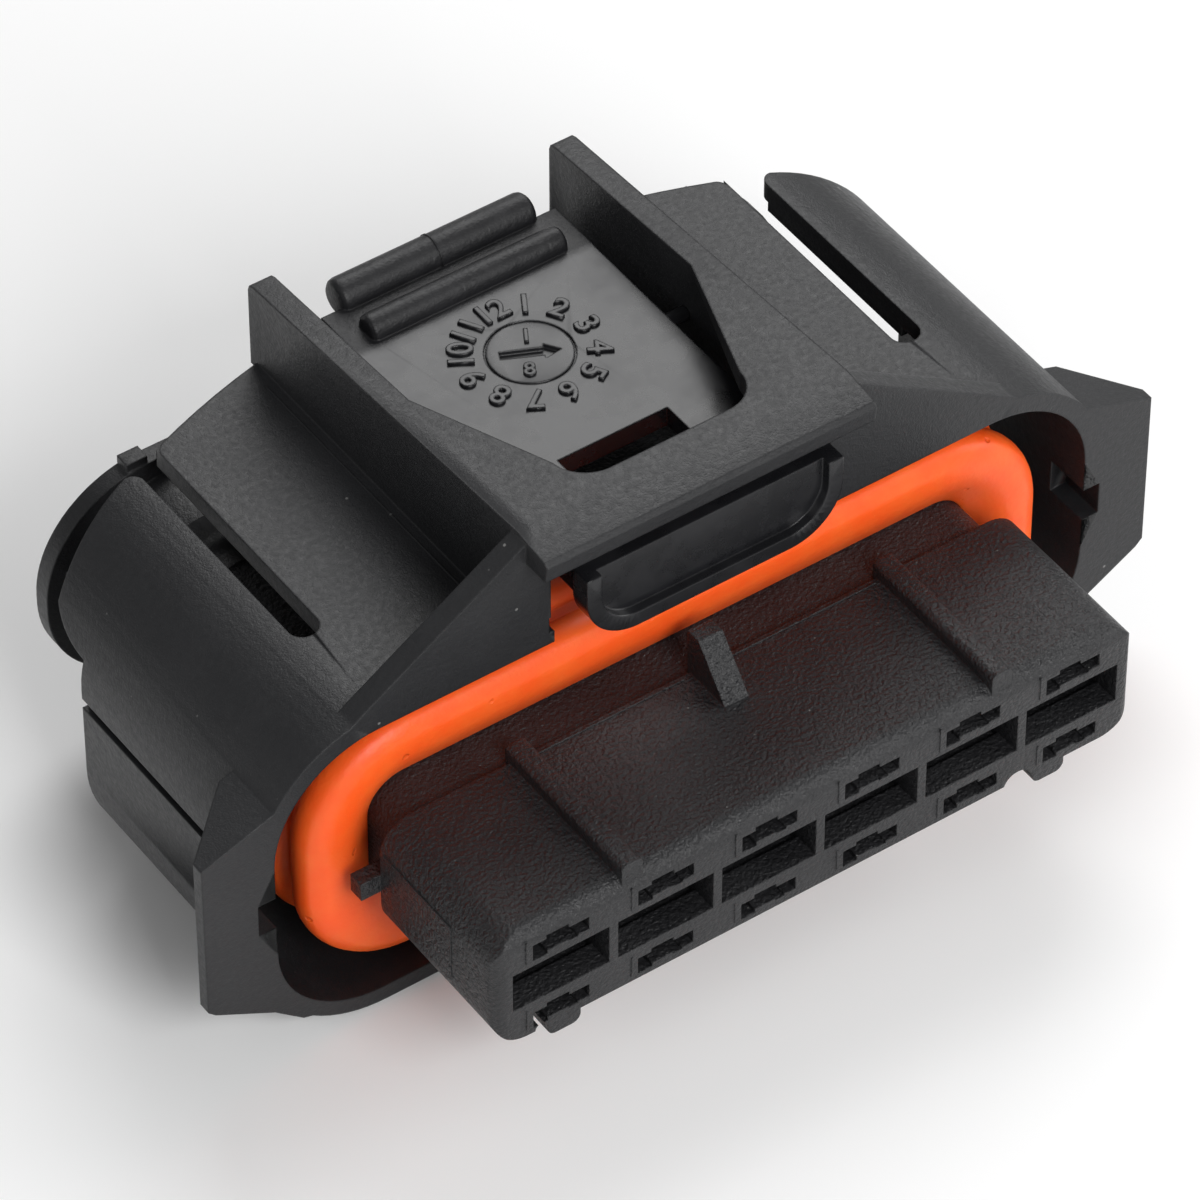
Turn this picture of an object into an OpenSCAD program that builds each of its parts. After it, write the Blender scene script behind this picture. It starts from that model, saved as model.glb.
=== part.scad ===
// Twelve-way sealed connector plug for wiring looms: a moulded outer shell with
// a guarded press lever, a keyed contact carrier with an orange radial seal, a
// wire seal mat, a secondary lock and a rear cover.
// X runs along the long side, Y runs to the rear (the mating nose faces -Y) and
// Z is up. The origin is the centre of the mating opening, on the flange face.

/* [Contacts] */
// Number of columns of contacts, two rows deep
columns = 6; // [2:1:6]
// Distance between neighbouring columns
pitch = 6; // [5.6:0.1:6.2]
// Width of the front opening of each chamber
window_w = 3.2; // [2.6:0.1:3.6]
// Height of a row above and below the centre plane
row_z = 2.1; // [2:0.05:2.2]
// Diameter of each wire hole
wire_d = 2; // [1.4:0.1:2.6]

/* [Nose] */
// How much narrower the nose is than the body behind the seal, at each end
nose_step = 1.2; // [0.8:0.1:1.7]
// Top surface of the nose
nose_top = 3.75; // [3.6:0.05:4]
// Underside of the nose
nose_bottom = -3.3; // [-3.5:0.05:-3.2]
// How far the nose reaches in front of the flange
nose_len = 10.7; // [10:0.1:12]
// Depth of the open pockets between the two rows
pocket_depth = 1.6; // [1:0.1:2.2]
// Height of the two key ribs on top
rib_h = 0.9; // [0.5:0.05:1.2]
// Distance of each key rib from the centre
rib_x = 10.8; // [10:0.1:11.4]

/* [Seal] */
// Wall of the neck beside the last chamber
end_wall = 1.15; // [0.9:0.05:1.2]
// Height of the neck that the seal sits on
neck_h = 7.2; // [7:0.05:7.3]
// Gap between the beads and the shell, above and below
seal_gap = 1.2; // [1:0.05:1.5]
// How far each bead stands out of the sleeve
bead_h = 0.9; // [0.4:0.05:1.2]
// Front face of the seal behind the flange face
seal_y = 0.5; // [0.2:0.1:1]
// Length of the seal
seal_len = 6.2; // [5.8:0.1:6.6]

/* [Outer shell] */
// Width of the shell's mating opening
open_w = 47.8; // [47:0.1:49]
// Height of the shell's mating opening
open_h = 17.8; // [17.4:0.1:18.4]
// Wall thickness of the shell
wall = 1.1; // [0.9:0.05:1.4]
// Width over the two flange ears
ear_w = 55.8; // [54:0.1:58]
// Thickness of the flange and its upright walls
flange_t = 1.2; // [0.9:0.05:1.6]
// Deepest point of the deck behind the flange face
deck_len = 24.1; // [23.8:0.1:24.6]
// Distance from the centre to the middle of each deck slot
slot_x = 17.6; // [17:0.1:18]
// Width of each deck slot
slot_w = 1.6; // [1.2:0.1:2]
// Distance from the flange face to the closed end of each slot
slot_y = 6; // [5:0.1:8]

/* [Lever guard] */
// Distance between the inner faces of the two guard fins
guard_w = 16.4; // [16:0.1:17]
// Thickness of each guard fin
fin_t = 1.3; // [1:0.05:1.5]
// Top of the guard at the flange
guard_front = 16.5; // [16:0.1:17]
// Top of the guard at the rear
guard_rear = 14.9; // [14.5:0.1:15.4]
// Rear end of the guard fins
fin_len = 23.6; // [23:0.1:23.8]
// Thickness of the bridge between the fins
bridge_t = 1.3; // [1:0.05:1.6]

/* [Lever] */
// Width of the lever plate
lever_w = 13.8; // [13:0.1:14.2]
// Upper face of the lever plate
lever_z = 13; // [12.8:0.05:13.2]
// Thickness of the lever plate
lever_t = 1.2; // [1:0.05:1.3]
// Hinge line of the lever behind the flange face
hinge_y = 12; // [10:0.1:14]
// Radius of the rear thumb ridge
ridge_r = 1; // [0.9:0.05:1.1]
// Length of the two ridges
ridge_len = 11.5; // [11:0.1:12.4]

/* [Rear] */
// Width of the carrier behind the seal
body_w = 40; // [39:0.1:40.6]
// Height of the carrier behind the seal
body_h = 11; // [10.6:0.1:12]
// How far the rear cover's rim stands out beyond the body, at each end
rim_lip = 2; // [1.7:0.1:2.2]
// Height of the rear cover's rim
rim_h = 13.2; // [13:0.1:14]
// Thickness of the wire seal mat
mat_t = 3; // [2.6:0.1:3.4]

/* [Terminals] */
// Wall between the front of the nose and the chambers
front_wall = 3.5; // [3.4:0.1:3.9]
// Length of a terminal's contact box
box_len = 8; // [7:0.1:8.6]
// Distance between the contact box and the crimp barrel
term_neck = 3.4; // [3:0.1:3.8]
// Length of the crimp barrel
barrel_len = 5; // [4:0.1:5.6]

/* [Hidden] */
$fn = 48;
body_y = seal_y + seal_len;        // front face of the carrier's wide body
body_end = 16.2;                   // rear face of the carrier
mat_end = body_end + mat_t;
cover_end = 24.2;
skirt_end = 15.3;                  // rear edge of the tube below the deck
seal_rin = 2;                      // corner radius of the neck
seal_t = (open_h - neck_h)/2 - seal_gap;   // from the neck to the top of a bead
seal_rout = seal_rin + seal_t;
seal_zc = -0.2;                    // the neck sits a little low
floor_z = -1.15;                   // floor of the open pockets
lock_gap = 0.15;                   // running gap over the secondary lock
lock_y = 12;  lock_d = 3;  lock_h = 1;
term_w = window_w - 0.7;  term_h = 1.7;
chamber_y = -nose_len + front_wall;    // front end of the chambers
term_y = chamber_y + 0.6;
neck_w = (columns - 1)*pitch + term_w + 0.4 + 2*end_wall;
nose_w = body_w - 2*nose_step;
rim_w = body_w + 2*rim_lip;
fin_x = guard_w/2 + fin_t/2;
out_w = open_w + 2*wall - 0.2;
deck_z = open_h/2 + wall;
tube_low = -open_h/2 - wall + 0.2;
deck_arc = 20;                     // the deck's rear edge is an arc in plan,
arc_r = deck_len + deck_arc;       // centred this far in front of the flange
wing_arc = 42;                     // and the outer parts follow a flatter one
wing_r = deck_len - 1.2 + wing_arc;
nose_zc = (nose_top + nose_bottom)/2;
lip_w = lever_w + 1;
col_x = [for (i = [0:columns-1]) (i - (columns-1)/2)*pitch];
shell_c = "#2c2d2f"; lever_c = "#1f2022"; nose_c = "#303133";
seal_c = "#ef5a1c"; metal_c = "#c9c4b4";

// A flat outline in X and Z, carried along Y from y0 to y1.
module along_y(y0, y1) {
  translate([0, y1, 0]) rotate([90, 0, 0]) linear_extrude(y1 - y0) children();
}

// A rectangle with round corners.
module rrect(w, h, r) {
  square([w, h - 2*r], center = true);
  square([w - 2*r, h], center = true);
  for (x = [-1, 1], y = [-1, 1])
    translate([x*(w/2 - r), y*(h/2 - r)]) circle(r);
}

// A ring whose section, given as radius and depth, runs round a rounded
// rectangle with corner centres at (cx, cz).
module ring_round(cx, cz, pts, ro) {
  rotate([90, 0, 0]) mirror([0, 0, 1]) {
    for (q = [[1, 1, 0], [-1, 1, 90], [-1, -1, 180], [1, -1, 270]])
      translate([q[0]*cx, q[1]*cz, 0]) rotate([0, 0, q[2]])
        rotate_extrude(angle = 90) polygon(pts);
    for (s = [0, 1]) rotate([0, 0, 180*s]) {
      translate([-cx, cz, 0]) rotate([90, 0, 90])
        linear_extrude(2*cx) polygon(pts);
      translate([cx, cz, 0]) rotate([90, 0, 0])
        linear_extrude(2*cz) polygon(pts);
    }
  }
}

// Both halves of something that is alike on the left and the right.
module both() { children(); mirror([1, 0, 0]) children(); }

// The waste outside a round corner of radius r, where an edge at x = x0 meets
// the rear arc of radius ra about y = yc. The corner runs out just past the arc.
module rear_corner(x0, r, side, yc, ra) {
  xm = x0 - side*r;
  ym = yc + sqrt(pow(ra - r + 0.03, 2) - xm*xm);
  xt = xm*ra/(ra - r);
  difference() {
    translate([min(xt, x0), ym, 4]) cube([abs(x0 - xt), 3, 10]);
    translate([xm, ym, 3]) cylinder(r = r, h = 12);
  }
}

module ear() {
  intersection() {
    along_y(0, 4.2)
      polygon([[20, -deck_z + 1], [20, 8.4], [23.2, 6.9], [ear_w/2, 5.2],
        [ear_w/2, -4.5], [ear_w/2 - 0.4, -4.9], [24.2, -6.8], [22.6, -8.2]]);
    translate([0, 0, -15]) linear_extrude(30)
      polygon([[20, 0], [ear_w/2, 0], [ear_w/2, 0.7], [24.6, 3.5], [20, 3.5]]);
  }
}

module upright_wall() {
  along_y(0, flange_t)
    polygon([[guard_w/2 - 0.1, open_h/2 - 0.3], [guard_w/2 - 0.1, guard_front - 0.8],
      [guard_w/2 + fin_t, guard_front - 0.3], [18.9, 10.2], [23.2, 6.9],
      [20, 7]]);
}

module fin() {
  translate([guard_w/2, 0, 0]) rotate([90, 0, 90]) linear_extrude(fin_t)
    polygon([[0, deck_z - 0.4], [0, guard_front - bridge_t - 0.2],
      [-1.6, guard_front - bridge_t - 0.2], [-1.75, guard_front - 0.5],
      [-1.5, guard_front - 0.3], [0.7, guard_front],
      [fin_len - 0.45, guard_rear], [fin_len - 0.12, guard_rear - 0.12],
      [fin_len, guard_rear - 0.45], [fin_len, deck_z - 0.4]]);
}

module bridge() {
  difference() {
    translate([-guard_w/2 - 0.2, 0, 0]) rotate([90, 0, 90])
      linear_extrude(guard_w + 0.4)
        polygon([[-1.6, guard_front - bridge_t - 0.2], [-1.75, guard_front - 0.5],
          [-1.5, guard_front - 0.3], [0.7, guard_front],
          [12, guard_front - (guard_front - guard_rear)*11.3/(fin_len - 1.15)],
          [12, guard_front - (guard_front - guard_rear)*11.3/(fin_len - 1.15) - 0.3],
          [1, guard_front - bridge_t - 0.2]]);
    translate([0, 0, guard_front - 4]) linear_extrude(6) {
      polygon([[-3.4, 1.8], [3.4, 1.8], [3.4, 3.8], [5.15, 3], [8.2, 11.6],
        [8.2, 13], [-8.2, 13], [-8.2, 11.6], [-5.15, 3], [-3.4, 3.8]]);
      translate([-3.4, 3.8]) circle(2);
      translate([3.4, 3.8]) circle(2);
    }
  }
}

module outer_shell() {
  color(shell_c) {
   difference() {
    union() {
      // Tube with a flat deck, its rear edge cut to one arc in plan.
      intersection() {
        translate([0, 0, (deck_z + tube_low)/2])
          along_y(0, deck_len + 1) rrect(out_w, deck_z - tube_low, 6 + wall);
        union() {
          translate([0, -deck_arc, -15]) cylinder(r = arc_r, h = 30, $fn = 160);
          translate([0, -wing_arc, -15]) cylinder(r = wing_r, h = 30, $fn = 160);
        }
      }
      both() { ear(); upright_wall(); fin(); }
      bridge();
    }
    // Mating opening, with a small key notch at each end.
    along_y(-3, deck_len + 3) rrect(open_w, open_h, 6);
    along_y(-1, 2.6) square([open_w + 2, 2], center = true);
    // The skirt ends before the deck does, with a round corner on each flap.
    difference() {
      translate([-40, skirt_end, -20]) cube([80, 20, 28.6]);
      translate([-41, skirt_end, 8.6]) rotate([0, 90, 0]) cylinder(r = 3.9, h = 82);
    }
    both() {
      // Slot beside each curved flap.
      translate([slot_x - slot_w/2, slot_y + slot_w/2, 5]) cube([slot_w, 30, 8]);
      translate([slot_x, slot_y + slot_w/2, 5]) cylinder(d = slot_w, h = 8);
      // Parting step along the side.
      translate([out_w/2 - 0.35, 4.2, 1.6]) cube([2, 20, 0.6]);
    }
    // Round corners where the rear edge meets each slot.
    both() {
      rear_corner(slot_x - slot_w/2, 0.9, 1, -deck_arc, arc_r);
      rear_corner(slot_x + slot_w/2, 0.7, -1, -wing_arc, wing_r);
    }
    // Well under the lever, open between the upright walls.
    translate([-guard_w/2 + 0.3, -1, 4]) cube([guard_w - 0.6, 18.5, deck_z - 3.5]);
    translate([-guard_w/2, -1, deck_z - 0.4]) cube([guard_w, 19, 1]);
   }
   // Stiffening bead under the inner edge of each flap.
   both() translate([slot_x + slot_w/2, slot_y + 2, open_h/2 - 0.6])
     cube([0.8, skirt_end - slot_y + 1.9, 0.8]);
  }
}

// A flat-topped outline with two round lower corners.
module cup(w, r, low, top) {
  intersection() {
    union() {
      translate([-w/2, low + r]) square([w, top - low]);
      translate([-w/2 + r, low]) square([w - 2*r, top - low]);
      for (s = [-1, 1]) translate([s*(w/2 - r), low + r]) circle(r);
    }
    translate([-w/2, low]) square([w, top - low]);
  }
}

// A round bar along X with rounded ends.
module ridge(len, r) {
  e = 0.45*r;
  translate([-len/2, 0, 0]) rotate([0, 90, 0]) rotate_extrude()
    polygon([[0, 0], [r - e, 0], [r - 0.5*e, 0.13*e], [r - 0.13*e, 0.5*e], [r, e],
      [r, len - e], [r - 0.13*e, len - 0.5*e], [r - 0.5*e, len - 0.13*e],
      [r - e, len], [0, len]]);
}

module lock_lever() {
  z0 = lever_z - lever_t;
  color(lever_c) difference() {
    union() {
      // Thumb plate with its two legs.
      translate([-lever_w/2, -1, z0]) cube([lever_w, fin_len - 1.4, lever_t]);
      // Thumb ridge across the rear and the smaller ridge in front of it.
      translate([0, fin_len - 1.75, lever_z + 0.1]) ridge(ridge_len, ridge_r);
      translate([0, fin_len - 4.55, lever_z + 0.15]) ridge(ridge_len, 0.8*ridge_r);
      // Torsion bars that carry the lever between the fins.
      translate([-guard_w/2, hinge_y, lever_z - 0.7]) rotate([0, 90, 0])
        cylinder(r = 0.4, h = guard_w);
      // Round-cornered catch across the front.
      along_y(-2, -0.8) cup(lip_w, 3, 9.7, lever_z + 1.1);
    }
    // Window for the catch ramp.
    translate([-3.2, -0.7, z0 - 1]) cube([6.4, 7.2, lever_t + 2]);
    // Hollow in the face of the catch.
    along_y(-3, -1.5) cup(lip_w - 1.7, 2.2, 10.55, lever_z + 2);
    // Date dial: a fine ring round the insert and a sunk pointer.
    translate([0, 13.4, lever_z - 0.12]) difference() {
      cylinder(d = 4.5, h = 1);
      translate([0, 0, -1]) cylinder(d = 4.3, h = 3);
    }
    translate([0, 13.4, lever_z - 0.25]) rotate([0, 0, -25]) linear_extrude(1)
      polygon([[-1.5, -0.27], [0.7, -0.27], [0.7, -0.5], [1.55, 0], [0.7, 0.5],
        [0.7, 0.27], [-1.5, 0.27]]);
  }
}

// One stepped front opening of a chamber.
module stepped_window() {
  w = window_w;
  polygon([[-w/2, -0.65], [-w*0.24, -0.65], [-w*0.24, -0.42], [w*0.12, -0.42],
    [w*0.12, -0.52], [w*0.3, -0.52], [w*0.3, -0.42], [w/2, -0.42], [w/2, 0.4],
    [w*0.14, 0.4], [w*0.14, 0.62], [-w*0.26, 0.62], [-w*0.26, 0.4], [-w/2, 0.4]]);
}

module contact_carrier() {
  color(nose_c) difference() {
    union() {
      intersection() {
        translate([0, 0, nose_zc]) along_y(-nose_len, -1.2)
          rrect(nose_w, nose_top - nose_bottom, 1.9);
        // Round front edges, above and at the two ends.
        rotate([90, 0, 90]) translate([0, 0, -nose_w]) linear_extrude(2*nose_w) {
          translate([-nose_len, nose_bottom - 1]) square([20, nose_top - nose_bottom]);
          translate([-nose_len + 1, nose_bottom]) square([20, 10]);
          translate([-nose_len + 1, nose_top - 1]) circle(1);
        }
        translate([0, 0, -10]) linear_extrude(20) {
          translate([-nose_w/2 + 0.8, -nose_len]) square([nose_w - 1.6, 20]);
          translate([-nose_w/2, -nose_len + 0.8]) square([nose_w, 20]);
          for (s = [-1, 1]) translate([s*(nose_w/2 - 0.8), -nose_len + 0.8]) circle(0.8);
        }
      }
      translate([0, 0, seal_zc]) along_y(-1.3, body_y + 0.1)
        rrect(neck_w, neck_h, seal_rin);
      along_y(body_y, body_end) rrect(body_w, body_h, 5.3);
      both() {
        // Key ribs on top.
        translate([rib_x, 0, 0]) along_y(-nose_len + 0.2, -0.9) {
          translate([-0.6, nose_top - 0.5]) square([1.2, rib_h + 0.15]);
          translate([-0.25, nose_top - 0.5]) square([0.5, rib_h + 0.5]);
          for (s = [-1, 1]) translate([s*0.25, nose_top + rib_h - 0.35]) circle(0.35);
        }
        // Ribs that seat the carrier in the shell.
        translate([10.5, body_y + 0.4, -open_h/2]) cube([2, 4, open_h]);
        // Side keys.
        translate([neck_w/2 - 0.6, -1.2, -0.6])
          cube([body_w/2 - neck_w/2 + 0.5, 0.9, 1.1]);
      }
      // Guide feet below, each with a relief beside it.
      for (x = [-14.85, 13.75]) translate([x, 0, nose_bottom]) along_y(-nose_len, -2) {
        translate([-0.95, -0.3]) square([1.9, 1]);
        translate([-0.45, -0.8]) square([0.9, 1]);
        for (s = [-1, 1]) translate([s*0.45, -0.3]) circle(0.5);
      }
      // Ramped centre key.
      translate([-0.9, 0, 0]) rotate([90, 0, 90]) linear_extrude(1.4)
        polygon([[-4.1, nose_top - 0.5], [-4.1, nose_top], [-1.9, 6.4],
          [-1, 6.4], [-1, 3], [-2, 3]]);
    }
    for (x = col_x) {
      // Front openings of the two rows and the open pocket between them.
      translate([x, 0, row_z + 0.2])
        along_y(-nose_len - 1, chamber_y + 0.2) stepped_window();
      translate([x, 0, -row_z - 0.25])
        along_y(-nose_len - 1, chamber_y + 0.2) stepped_window();
      translate([x - pitch/2 + 0.25, -nose_len - 1, floor_z])
        cube([pitch - 0.5, pocket_depth + 1, 2.45]);
      translate([x - pitch/2 + 0.25, -nose_len + pocket_depth - 0.1, floor_z - 0.35])
        cube([pitch - 0.5, 1.8, 2.7]);
      // Chambers for the terminals.
      for (s = [-1, 1]) translate([x - term_w/2 - 0.2, chamber_y, s*row_z - 1])
        cube([term_w + 0.4, body_end + 8, term_h + 0.3]);
    }
    // Reliefs beside the guide feet.
    translate([11.9, 0, nose_bottom - 0.25]) along_y(-nose_len - 1, -2) circle(0.85);
    translate([-16.15, 0, nose_bottom]) along_y(-nose_len - 1, -2) circle(0.34);
    // Slot for the secondary lock, entered from one side.
    translate([-body_w, lock_y - 0.2, -lock_h/2])
      cube([1.5*body_w - 1, lock_d + 0.4, lock_h + lock_gap]);
  }
}

module radial_seal() {
  cx = neck_w/2 - seal_rin;  cz = neck_h/2 - seal_rin;
  ri = seal_rin;  ro = seal_rout;  rb = seal_rout - bead_h;  b = bead_h;
  color(seal_c) translate([0, 0, seal_zc]) ring_round(cx, cz, concat(
    [[ri, seal_y + 1.1], [ri + 0.5, seal_y + 0.75], [ro - 2.6, seal_y + 0.2],
     [ro - 1.9, seal_y], [ro - 1.2, seal_y]],
    [for (yc = [seal_y + 1.2, seal_y + 4.3]) each
      [for (a = [-1:0.25:1]) [rb + b*sqrt(1 - a*a), yc + 1.15*a]]],
    [[rb, body_y], [ri, body_y]]), ro);
}

module wire_seal_mat() {
  color(seal_c) difference() {
    along_y(body_end, mat_end) rrect(body_w, body_h, 5.3);
    for (x = col_x, s = [-1, 1]) translate([x, body_end - 1, s*row_z])
      rotate([-90, 0, 0]) cylinder(d = wire_d, h = mat_t + 2);
  }
}

module rear_cover() {
  color(shell_c) difference() {
    union() {
      along_y(mat_end, cover_end - 0.9) rrect(body_w, body_h, 5.3);
      along_y(cover_end - 1, cover_end) rrect(rim_w, rim_h, 6.3);
      // Clips that hold the cover to the sides of the carrier.
      both() {
        translate([body_w/2, body_end - 0.8, -2]) cube([0.8, cover_end - body_end, 4]);
        translate([-17, cover_end - 0.9, rim_h/2 - 0.4]) cube([1.2, 0.9, 0.8]);
      }
    }
    along_y(mat_end + 1.6, cover_end + 1) rrect(body_w - 2.4, body_h - 2.4, 4.2);
    for (x = col_x, s = [-1, 1]) translate([x, mat_end - 1, s*row_z])
      rotate([-90, 0, 0]) cylinder(d = wire_d + 0.6, h = 8);
  }
}

module secondary_lock() {
  color("#7a3f8f") difference() {
    translate([-body_w/2 - 0.6, lock_y, -lock_h/2]) cube([body_w - 1.4, lock_d, lock_h]);
    for (x = col_x) translate([x - 0.9, lock_y - 1, -lock_h])
      cube([1.8, 1 + 0.45*lock_d, 2*lock_h]);
  }
}

// Female terminal: a box with a mouth, a neck and a crimp barrel.
module terminal(col, row) {
  barrel_y = term_y + box_len + term_neck;
  translate([col_x[min(col, columns - 1)], 0, (row == 0 ? 1 : -1)*row_z])
    color(metal_c) difference() {
      union() {
        translate([-term_w/2, term_y, -1]) cube([term_w, box_len, term_h]);
        translate([-0.8, term_y + box_len - 0.2, -1]) cube([1.6, term_neck + 0.6, 0.5]);
        translate([-term_w/2 + 0.15, barrel_y, -1])
          cube([term_w - 0.3, barrel_len, term_h - 0.1]);
      }
      translate([-term_w/2 + 0.25, term_y - 0.4, -0.75])
        cube([term_w - 0.5, box_len - 0.4, term_h - 0.5]);
      translate([-term_w/2 + 0.45, barrel_y - 0.8, -0.7])
        cube([term_w - 0.9, barrel_len + 2, term_h]);
    }
}

outer_shell();
lock_lever();
contact_carrier();
radial_seal();
wire_seal_mat();
rear_cover();
secondary_lock();
terminal(0, 0);  // terminal_01
terminal(1, 0);  // terminal_02
terminal(2, 0);  // terminal_03
terminal(3, 0);  // terminal_04
terminal(4, 0);  // terminal_05
terminal(5, 0);  // terminal_06
terminal(0, 1);  // terminal_07
terminal(1, 1);  // terminal_08
terminal(2, 1);  // terminal_09
terminal(3, 1);  // terminal_10
terminal(4, 1);  // terminal_11
terminal(5, 1);  // terminal_12
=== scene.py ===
# A twelve-way sealed connector plug: matt black moulded shell with a polished
# press lever, a grained black nose and an orange seal. X is along the long
# side, Y runs to the rear and Z is up, all in metres.
import math

import bmesh
import bpy
from mathutils import Matrix, Vector


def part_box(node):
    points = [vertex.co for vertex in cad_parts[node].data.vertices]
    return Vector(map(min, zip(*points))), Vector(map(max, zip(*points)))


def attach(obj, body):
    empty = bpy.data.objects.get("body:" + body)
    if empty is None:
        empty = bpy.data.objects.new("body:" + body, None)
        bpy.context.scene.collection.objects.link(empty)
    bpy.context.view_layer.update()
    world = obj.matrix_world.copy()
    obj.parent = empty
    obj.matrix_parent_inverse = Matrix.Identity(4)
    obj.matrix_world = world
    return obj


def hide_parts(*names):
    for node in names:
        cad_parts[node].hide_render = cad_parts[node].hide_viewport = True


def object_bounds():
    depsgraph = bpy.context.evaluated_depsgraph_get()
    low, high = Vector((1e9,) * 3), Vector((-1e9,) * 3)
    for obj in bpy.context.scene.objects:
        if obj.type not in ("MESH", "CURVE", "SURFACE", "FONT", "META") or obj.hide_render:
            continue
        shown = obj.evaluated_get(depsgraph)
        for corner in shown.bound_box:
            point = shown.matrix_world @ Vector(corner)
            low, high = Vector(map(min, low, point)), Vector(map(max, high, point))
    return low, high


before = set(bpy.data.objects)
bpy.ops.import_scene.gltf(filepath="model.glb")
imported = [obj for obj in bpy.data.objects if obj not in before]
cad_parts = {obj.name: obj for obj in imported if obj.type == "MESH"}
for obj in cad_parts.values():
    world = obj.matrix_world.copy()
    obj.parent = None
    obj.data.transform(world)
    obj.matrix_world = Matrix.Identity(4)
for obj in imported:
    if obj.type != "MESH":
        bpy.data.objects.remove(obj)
cad_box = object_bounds()

# ---------------------------------------------------------------------------
# Outer shell: one glass-filled nylon moulding with the tube, the ears, the
# curved flaps, the guard fins and the bridge. Its edges are left slightly
# round by the tool, and the skin is matt with faint flow marks and dust.
# ---------------------------------------------------------------------------
MM = 0.001


class Level:
    """A level that varies over a surface, written like a number."""

    def __init__(self, finish, socket):
        self.finish, self.socket = finish, socket

    def _sum(self, kind, a, b):
        return self.finish.node("ShaderNodeMath", {"operation": kind}, {0: a, 1: b})

    def __add__(self, other):
        return self._sum("ADD", self, other)

    __radd__ = __add__

    def __mul__(self, other):
        return self._sum("MULTIPLY", self, other)

    __rmul__ = __mul__

    def __sub__(self, other):
        return self._sum("SUBTRACT", self, other)

    def __rsub__(self, other):
        return self._sum("SUBTRACT", other, self)

    def over(self, edge):
        """1 where the level is above edge, and 0 elsewhere."""
        return self._sum("GREATER_THAN", self, edge)

    def ramp(self, low, high):
        """0 at low and 1 at high, held flat beyond both."""
        return self.finish.node(
            "ShaderNodeMapRange", {"clamp": True},
            {"Value": self, "From Min": low, "From Max": high, "To Min": 0.0, "To Max": 1.0})


class Finish:
    """One material, with its Principled shader and a few short ways to add nodes."""

    def __init__(self, name, **fixed):
        self.material = bpy.data.materials.new(name)
        self.material.use_nodes = True
        self.tree = self.material.node_tree
        self.skin = self.tree.nodes["Principled BSDF"]
        for socket, value in fixed.items():
            self.skin.inputs[socket.replace("_", " ")].default_value = value
        self.at = self.node("ShaderNodeTexCoord", out="Object")

    def node(self, kind, settings=None, values=None, out=0):
        """A node of one kind: its settings first, then its sockets."""
        made = self.tree.nodes.new(kind)
        for name, setting in (settings or {}).items():
            setattr(made, name, setting)
        for socket, value in (values or {}).items():
            if isinstance(value, Level):
                self.tree.links.new(value.socket, made.inputs[socket])
            else:
                made.inputs[socket].default_value = value
        return Level(self, made.outputs[out])

    def noise(self, per_mm, detail, rough):
        return self.node("ShaderNodeTexNoise", {"noise_dimensions": "3D"},
                         {"Vector": self.at, "Scale": per_mm / MM, "Detail": detail,
                          "Roughness": rough})

    def dots(self, per_mm, radius, skipped):
        """Round spots at random, 1 inside and 0 outside. The radius is a share
        of their spacing, and skipped is the share of them left out."""
        cells = {"Vector": self.at, "Scale": per_mm / MM, "Randomness": 1.0}
        distance = self.node("ShaderNodeTexVoronoi", {"feature": "F1"}, cells)
        draw = self.node("ShaderNodeTexVoronoi", {"feature": "F1"}, cells, out="Color")
        kept = self.node("ShaderNodeSeparateColor", values={0: draw}).over(skipped)
        return (1 - distance.ramp(radius * 0.6, radius)) * kept

    def blend(self, amount, first, second):
        """The first colour where amount is 0 and the second where it is 1."""
        first, second = [(*c, 1) if isinstance(c, tuple) else c for c in (first, second)]
        return self.node("ShaderNodeMix", {"data_type": "RGBA"},
                         {0: amount, 6: first, 7: second}, out=2)

    def bump(self, height, depth_mm, edge_mm=0.0):
        """The height as bump, over edges that look round by edge_mm."""
        values = {"Strength": 1.0, "Distance": depth_mm * MM, "Height": height}
        if edge_mm:
            values["Normal"] = self.node("ShaderNodeBevel", {"samples": 6},
                                         {"Radius": edge_mm * MM})
        return self.node("ShaderNodeBump", values=values)

    def wear(self, **varying):
        """Lead what varies over the surface to the shader."""
        for socket, level in varying.items():
            self.tree.links.new(level.socket, self.skin.inputs[socket.replace("_", " ")])
        return self.material


def mesh_of(name, bm):
    mesh = bpy.data.meshes.new(name)
    bm.to_mesh(mesh)
    bm.free()
    return mesh


def piece(name, mesh, material, body):
    """The object of a finished mesh, riding on its body."""
    mesh.materials.clear()
    mesh.materials.append(material)
    made = bpy.data.objects.new(name, mesh)
    bpy.context.scene.collection.objects.link(made)
    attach(made, body)
    return made


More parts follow.
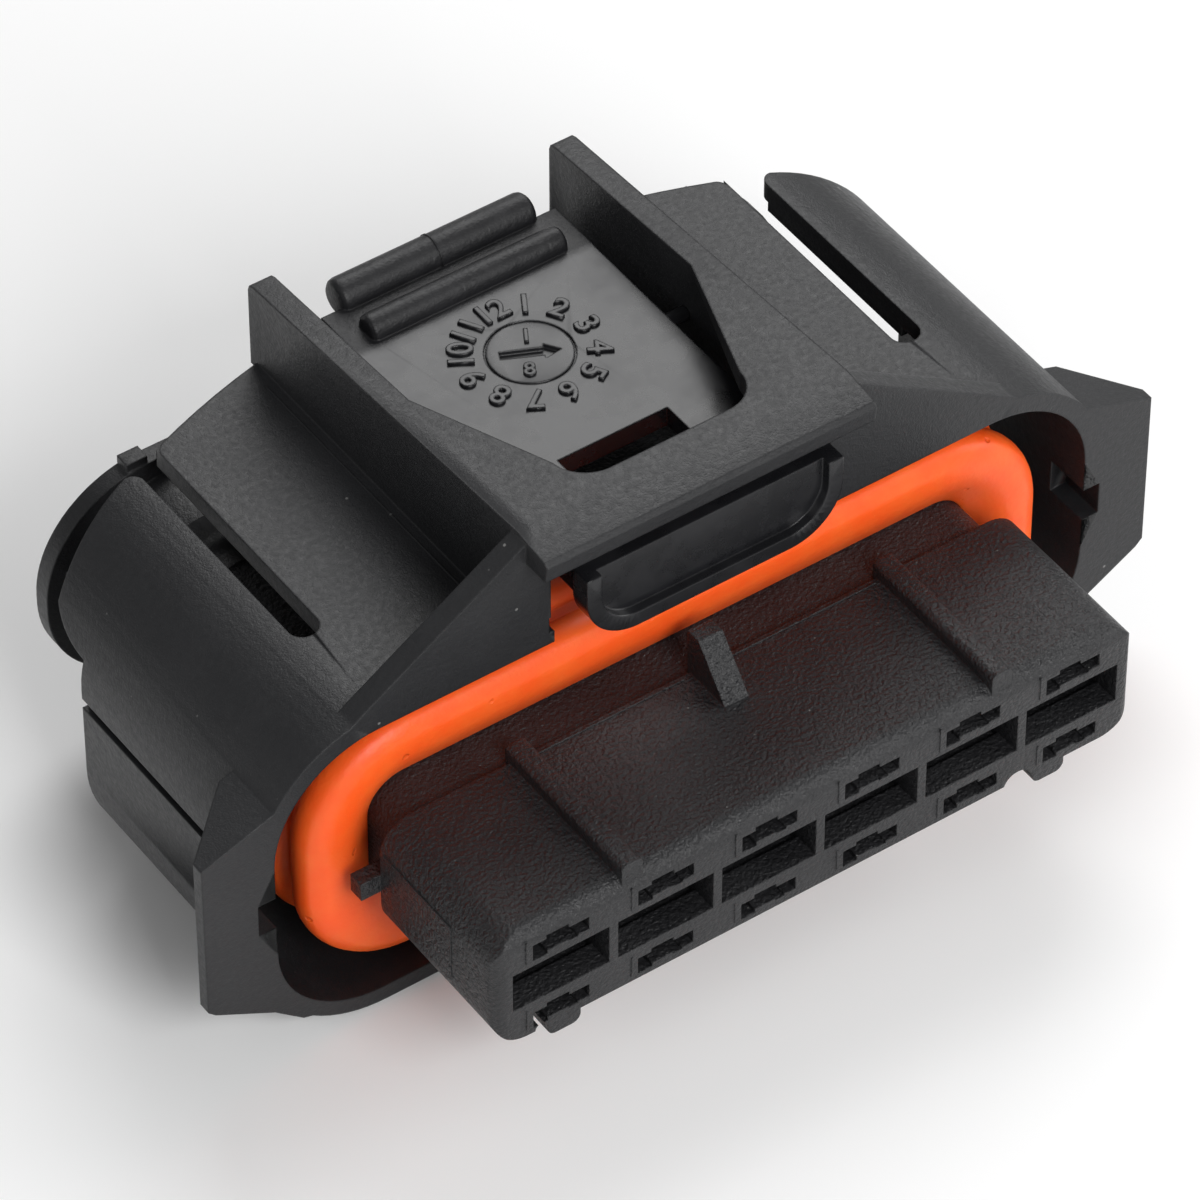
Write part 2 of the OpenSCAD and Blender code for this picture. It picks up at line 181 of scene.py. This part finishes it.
def moulded(name, node, round_mm, body, material, pierced=(), round_from=28,
            sharp_from=30):
    """A copy of a CAD solid with the small round edges of a moulding. Faces that
    look along an axis in pierced have holes in them and keep their triangles.
    The two angles, in degrees, say which edges are rounded and which stay sharp."""
    bm = bmesh.new()
    bm.from_mesh(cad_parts[node].data)
    bmesh.ops.remove_doubles(bm, verts=bm.verts, dist=0.0002 * MM)
    plain = [e for e in bm.edges
             if not any(all(abs(f.normal[axis]) > 0.99 for f in e.link_faces)
                        for axis in pierced)]
    bmesh.ops.dissolve_limit(bm, angle_limit=math.radians(0.6), verts=[], edges=plain,
                             delimit=set())
    bmesh.ops.triangulate(bm, faces=[f for f in bm.faces if len(f.verts) > 4],
                          quad_method="BEAUTY", ngon_method="BEAUTY")
    mesh = mesh_of(name, bm)
    mesh.shade_smooth()
    mesh.set_sharp_from_angle(angle=math.radians(sharp_from))
    made = piece(name, mesh, material, body)
    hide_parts(node)
    edges = made.modifiers.new("round_edges", "BEVEL")
    edges.width, edges.segments = round_mm * MM, 3
    edges.limit_method, edges.angle_limit = "ANGLE", math.radians(round_from)
    faces = made.modifiers.new("flat_faces", "WEIGHTED_NORMAL")
    faces.weight, faces.keep_sharp = 100, True


def raised_lines(name, strips, body, material):
    """Fine raised lines. Each strip is its centre and full size in millimetres."""
    bm = bmesh.new()
    for centre, size in strips:
        place = Matrix.LocRotScale(Vector(centre) * MM, None, Vector(size) * MM)
        bmesh.ops.create_cube(bm, size=1.0, matrix=place)
    bmesh.ops.bevel(bm, geom=bm.edges[:], offset=0.015 * MM, offset_type="OFFSET",
                    affect="EDGES", segments=1, profile=0.5, material=-1)
    piece(name, mesh_of(name, bm), material, body)


nylon = Finish("matt_shell", Specular_IOR_Level=0.42)
flow = nylon.noise(0.09, 4.0, 0.6).ramp(0.42, 0.72)
grain = nylon.noise(3.2, 3.0, 0.62)
fine_grain = nylon.noise(9.0, 2.0, 0.6)
dust = nylon.dots(0.9, 0.09, 0.90)
scuff = nylon.noise(0.5, 5.0, 0.7).ramp(0.56, 0.75)
nylon_black = nylon.blend(flow * 0.6 + scuff * 0.25,
                          (0.0135, 0.0138, 0.0152), (0.024, 0.0243, 0.026))
shell_skin = nylon.wear(
    Base_Color=nylon.blend(dust * 0.8, nylon_black, (0.19, 0.19, 0.185)),
    Roughness=0.46 + (grain - 0.5) * 0.34 + flow * 0.06,
    Normal=nylon.bump(grain * 0.6 + fine_grain * 0.4, 0.05, 0.16))
moulded("shell_moulding", "outer_shell", 0.12, "housing", shell_skin, pierced=(1, 2))

# The fillet at the foot of each fin ends in a fine line on the deck.
FOOT_X, DECK_Z = 10.05, 10.0
raised_lines("fin_foot_lines",
             [((side * FOOT_X, 11.6, DECK_Z), (0.12, 19.6, 0.08)) for side in (-1, 1)],
             "housing", shell_skin)

# ---------------------------------------------------------------------------
# Rear cover: a cap of the same matt nylon, clipped on behind the wire seal
# mat. Its collar is a thin band that wraps the edge of the mat.
# ---------------------------------------------------------------------------
moulded("rear_cap", "rear_cover", 0.12, "housing", shell_skin, pierced=(0, 1, 2))

MAT_CORNER = 5.3 * MM
COLLAR_GAP = 0.12 * MM
COLLAR_WALL = 0.08 * MM
COLLAR_PAST = 0.3 * MM
COLLAR_STEPS = 64
mat_low, mat_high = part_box("wire_seal_mat")
bm = bmesh.new()
bmesh.ops.create_circle(
    bm, cap_ends=False, segments=COLLAR_STEPS, radius=MAT_CORNER + COLLAR_GAP,
    matrix=Matrix.Translation((0, mat_low.y - COLLAR_PAST, 0))
    @ Matrix.Rotation(math.pi / 2, 4, "X") @ Matrix.Rotation(math.pi / COLLAR_STEPS, 4, "Z"))
for axis, along in ((0, Vector((1, 0, 0))), (2, Vector((0, 0, 1)))):
    half_flat = (mat_high[axis] - mat_low[axis]) / 2 - MAT_CORNER
    for side in (-1, 1):
        bmesh.ops.translate(bm, verts=[v for v in bm.verts if v.co[axis] * side > 0],
                            vec=along * side * half_flat)
drawn = bmesh.ops.extrude_edge_only(bm, edges=bm.edges[:])["geom"]
bmesh.ops.translate(bm, verts=[g for g in drawn if isinstance(g, bmesh.types.BMVert)],
                    vec=(0, mat_high.y - mat_low.y + 2 * COLLAR_PAST, 0))
bmesh.ops.recalc_face_normals(bm, faces=bm.faces)
collar_mesh = mesh_of("cover_collar", bm)
collar_mesh.shade_smooth()
collar_mesh.set_sharp_from_angle(angle=math.radians(40))
collar = piece("cover_collar", collar_mesh, shell_skin, "housing")
wall = collar.modifiers.new("wall", "SOLIDIFY")
wall.thickness, wall.offset = COLLAR_WALL, -1.0

# ---------------------------------------------------------------------------
# Press lever: black acetal with a polished face. Its thumb ridges, window and
# catch are moulded with it, and two torsion bars carry it between the fins.
# ---------------------------------------------------------------------------
MATT_FROM, MATT_FULL = 17.7 * MM, 18.3 * MM
acetal = Finish("polished_lever", Specular_IOR_Level=0.42)
marks = acetal.noise(0.35, 5.0, 0.65).ramp(0.45, 0.8)
ripple = acetal.noise(0.8, 2.0, 0.5)
lever_dust = acetal.dots(1.1, 0.08, 0.92)
rearward = acetal.node("ShaderNodeSeparateXYZ", values={0: acetal.at}, out="Y")
matt = rearward.ramp(MATT_FROM, MATT_FULL)
matt_grain = acetal.noise(4.0, 3.0, 0.6)
acetal_black = acetal.blend(marks, (0.0075, 0.0076, 0.0088), (0.014, 0.014, 0.016))
lever_skin = acetal.wear(
    Base_Color=acetal.blend(lever_dust * 0.7, acetal_black, (0.16, 0.16, 0.16)),
    Roughness=0.26 + marks * 0.12 + matt * (0.16 + matt_grain * 0.1),
    Normal=acetal.bump(ripple * 0.3 + matt * matt_grain, 0.04, 0.13))
moulded("press_lever", "lock_lever", 0.12, "lever", lever_skin, pierced=(2,))

# Date dial on the lever: raised numbers 1 to 12 round the insert, and the two
# small figures inside it, moulded with the plate.
PLATE_Z = 13.0
DIAL_X, DIAL_Y, HOUR_RING = 0.0, 13.4, 3.3
HOUR_TALL, HOUR_PROUD = 1.25, 0.11
INSERT_TALL, INSERT_PROUD, INSERT_TURN = 0.85, 0.09, math.radians(-30)
CAPITAL_SHARE = 0.70


def raise_figure(bm, text, x, y, turn, tall, proud):
    """Add a raised number, tall mm high, its foot turned by turn radians."""
    curve = bpy.data.curves.new("figure", "FONT")
    curve.body, curve.size = text, tall / CAPITAL_SHARE
    curve.align_x, curve.align_y = "CENTER", "CENTER"
    curve.offset = 0.02
    curve.extrude, curve.bevel_depth, curve.bevel_resolution = proud, 0.04, 1
    figure_object = bpy.data.objects.new("figure", curve)
    bpy.context.scene.collection.objects.link(figure_object)
    graph = bpy.context.evaluated_depsgraph_get()
    mesh = bpy.data.meshes.new_from_object(figure_object.evaluated_get(graph))
    bpy.data.objects.remove(figure_object)
    mesh.transform(Matrix.Scale(MM, 4) @ Matrix.Translation((x, y, PLATE_Z))
                   @ Matrix.Rotation(turn, 4, "Z"))
    bm.from_mesh(mesh)


bm = bmesh.new()
for hour in range(1, 13):
    around = math.radians(90 - 30 * hour)
    raise_figure(bm, str(hour), DIAL_X + HOUR_RING * math.cos(around),
                 DIAL_Y + HOUR_RING * math.sin(around), around - math.pi / 2,
                 HOUR_TALL, HOUR_PROUD)
for figure, x, y in (("1", 0.45, 1.0), ("8", -0.75, -1.05)):
    raise_figure(bm, figure, DIAL_X + x, DIAL_Y + y, INSERT_TURN, INSERT_TALL, INSERT_PROUD)
bmesh.ops.remove_doubles(bm, verts=bm.verts, dist=0.0001 * MM)
piece("dial_figures", mesh_of("dial_figures", bm), lever_skin, "lever")

# Parting line round the middle of the rear thumb ridge, whose axis is along X.
RIDGE_BACK, RIDGE_Z = 1.0 * MM, 13.1 * MM
SEAM_RADIUS, SEAM_WIDTH = 1.045 * MM, 0.09 * MM
lever_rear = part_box("lock_lever")[1].y
bm = bmesh.new()
bmesh.ops.create_cone(bm, cap_ends=True, segments=48, radius1=SEAM_RADIUS,
                      radius2=SEAM_RADIUS, depth=SEAM_WIDTH,
                      matrix=Matrix.Translation((0, lever_rear - RIDGE_BACK, RIDGE_Z))
                      @ Matrix.Rotation(math.pi / 2, 4, "Y"))
piece("ridge_seam", mesh_of("ridge_seam", bm), lever_skin, "lever")

# ---------------------------------------------------------------------------
# Contact carrier: the long nose with its chambers, keys and ribs, in black
# glass-filled plastic with the even grain of a spark-eroded tool.
# ---------------------------------------------------------------------------
eroded = Finish("eroded_nose", Specular_IOR_Level=0.42)
pit = eroded.noise(4.6, 2.0, 0.55)
broad = eroded.noise(0.25, 3.0, 0.6).ramp(0.35, 0.75)
nose_dust = eroded.dots(1.3, 0.07, 0.94)
nose_black = eroded.blend(broad, (0.0135, 0.0135, 0.0148), (0.021, 0.021, 0.0225))
nose_skin = eroded.wear(
    Base_Color=eroded.blend(nose_dust * 0.7, nose_black, (0.2, 0.2, 0.19)),
    Roughness=0.44 + (pit - 0.5) * 0.4,
    Normal=eroded.bump(pit, 0.15, 0.12))
moulded("contact_nose", "contact_carrier", 0.07, "housing", nose_skin,
        pierced=(0, 1, 2))

# Witness lines of the tool: along the top of the nose, on its left side, and
# one beside each window of a column on the front face.
COLUMNS, PITCH, BESIDE = 6, 6.0, -1.95
face_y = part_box("contact_carrier")[0].y / MM
lines = [((-5.7, -1.45, 3.75), (8.6, 0.13, 0.09)),
         ((5.7, -1.45, 3.75), (8.6, 0.13, 0.09)),
         ((-18.8, -4.3, 2.1), (0.09, 5.6, 0.11)),
         ((-18.8, -7.1, 0.4), (0.09, 0.11, 3.4))]
for column in range(COLUMNS):
    x = (column - (COLUMNS - 1) / 2) * PITCH + BESIDE
    lines += [((x, face_y, 2.35), (0.11, 0.08, 1.5)), ((x, face_y, -2.3), (0.11, 0.08, 1.3))]
raised_lines("nose_witness_lines", lines, "housing", nose_skin)

# ---------------------------------------------------------------------------
# Radial seal and wire seal mat: orange silicone rubber with a satin skin,
# small dimples and a little moulding dust.
# ---------------------------------------------------------------------------
silicone = Finish("orange_silicone", Specular_IOR_Level=0.4, Subsurface_Weight=0.3,
                  Subsurface_Scale=1.5 * MM, Subsurface_Radius=(1.0, 0.3, 0.08))
cloudy = silicone.noise(0.5, 3.0, 0.55)
dimple = silicone.dots(0.75, 0.16, 0.55)
satin = silicone.noise(3.5, 3.0, 0.6)
crumb = silicone.dots(1.5, 0.06, 0.93)
orange = silicone.blend(cloudy.ramp(0.3, 0.7), (1.0, 0.100, 0.010), (1.0, 0.135, 0.018))
seal_skin = silicone.wear(
    Base_Color=silicone.blend(crumb * 0.6, orange, (1.0, 0.42, 0.2)),
    Roughness=0.36 + satin * 0.14,
    Normal=silicone.bump((1 - dimple) + satin * 0.25, 0.08))
moulded("orange_seal", "radial_seal", 0.12, "housing", seal_skin, round_from=35,
        sharp_from=70)
moulded("wire_mat", "wire_seal_mat", 0.15, "housing", seal_skin)

# ---------------------------------------------------------------------------
# Secondary lock: a small slide of dark plastic, pushed across the carrier
# once the terminals are in.
# ---------------------------------------------------------------------------
slide_plastic = Finish("lock_plastic", Specular_IOR_Level=0.5)
sheen = slide_plastic.noise(2.0, 3.0, 0.6)
lock_skin = slide_plastic.wear(
    Base_Color=slide_plastic.blend(sheen.ramp(0.3, 0.7), (0.022, 0.022, 0.026),
                                   (0.03, 0.03, 0.034)),
    Roughness=0.35 + sheen * 0.15,
    Normal=slide_plastic.bump(sheen, 0.02))
moulded("lock_slide", "secondary_lock", 0.08, "position_lock", lock_skin)

# ---------------------------------------------------------------------------
# Terminals: twelve stamped and folded contacts of tinned bronze, each with a
# box at the front and a crimp barrel behind, down inside the chambers.
# ---------------------------------------------------------------------------
tinned = Finish("tinned_bronze", Metallic=1.0)
rolled = tinned.noise(1.5, 4.0, 0.6)
terminal_skin = tinned.wear(
    Base_Color=tinned.blend(rolled.ramp(0.3, 0.7), (0.42, 0.40, 0.36), (0.56, 0.53, 0.46)),
    Roughness=0.3 + rolled * 0.2,
    Normal=tinned.bump(rolled, 0.01))
for number in range(1, 13):
    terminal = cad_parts["terminal_%02d" % number]
    terminal.data.materials.clear()
    terminal.data.materials.append(terminal_skin)

# ---------------------------------------------------------------------------
# Studio: a plain pale floor just under the shell, and four soft lights. The
# key light stands behind to the right, and the front one lights the nose.
# ---------------------------------------------------------------------------
FLOOR_HALF = 1.5
FLOOR_GAP = 0.02 * MM
bm = bmesh.new()
bmesh.ops.create_grid(bm, x_segments=1, y_segments=1, size=FLOOR_HALF,
                      matrix=Matrix.Translation((0, 0, cad_box[0].z - FLOOR_GAP)))
floor = bpy.data.objects.new("floor", mesh_of("floor", bm))
bpy.context.scene.collection.objects.link(floor)
pale = Finish("pale_floor", Roughness=0.9, Specular_IOR_Level=0.1,
              Base_Color=(0.93, 0.93, 0.93, 1))
floor.data.materials.append(pale.material)

for name, place, size, watts in (("key_light", (0.24, 0.30, 0.38), 0.32, 1.5),
                                 ("right_light", (0.40, -0.16, 0.16), 0.22, 0.8),
                                 ("left_light", (-0.42, -0.05, 0.26), 0.20, 0.25),
                                 ("front_light", (-0.04, -0.44, 0.32), 0.26, 2.2)):
    panel = bpy.data.lights.new(name, "AREA")
    panel.shape, panel.energy = "RECTANGLE", watts
    panel.size = panel.size_y = size
    stand = bpy.data.objects.new(name, panel)
    stand.location = place
    stand.rotation_euler = (-Vector(place)).to_track_quat("-Z", "Y").to_euler()
    bpy.context.scene.collection.objects.link(stand)
world = bpy.data.worlds.new("studio")
bpy.context.scene.world = world
world.use_nodes = True
sky = world.node_tree.nodes["Background"].inputs
sky["Color"].default_value, sky["Strength"].default_value = (1, 1, 1, 1), 0.22
bpy.context.scene.view_settings.view_transform = "Standard"

# Camera: in front, to the left and above, about 380 mm off. The two shifts and
# the lift bring the middle of the plug to the middle of the frame.
AZIMUTH, ELEVATION = math.radians(-35.04), math.radians(45.04)
STAND_OFF, SHIFT_LEFT, SHIFT_UP, LIFT = 380.34 * MM, 4.33 * MM, 2.29 * MM, 3.88 * MM
back = Vector((math.sin(AZIMUTH) * math.cos(ELEVATION),
               -math.cos(AZIMUTH) * math.cos(ELEVATION), math.sin(ELEVATION)))
right = Vector((math.cos(AZIMUTH), math.sin(AZIMUTH), 0))
up = back.cross(right)
camera = bpy.data.objects.new("camera", bpy.data.cameras.new("camera"))
camera.data.sensor_width, camera.data.lens = 36, 237.9
camera.data.clip_start, camera.data.clip_end = 0.01, 10
camera.location = (back * STAND_OFF - right * SHIFT_LEFT + up * SHIFT_UP
                   + Vector((0, 0, LIFT)))
camera.rotation_euler = Matrix((right, up, back)).transposed().to_euler()
bpy.context.scene.collection.objects.link(camera)
bpy.context.scene.camera = camera

bpy.context.view_layer.update()
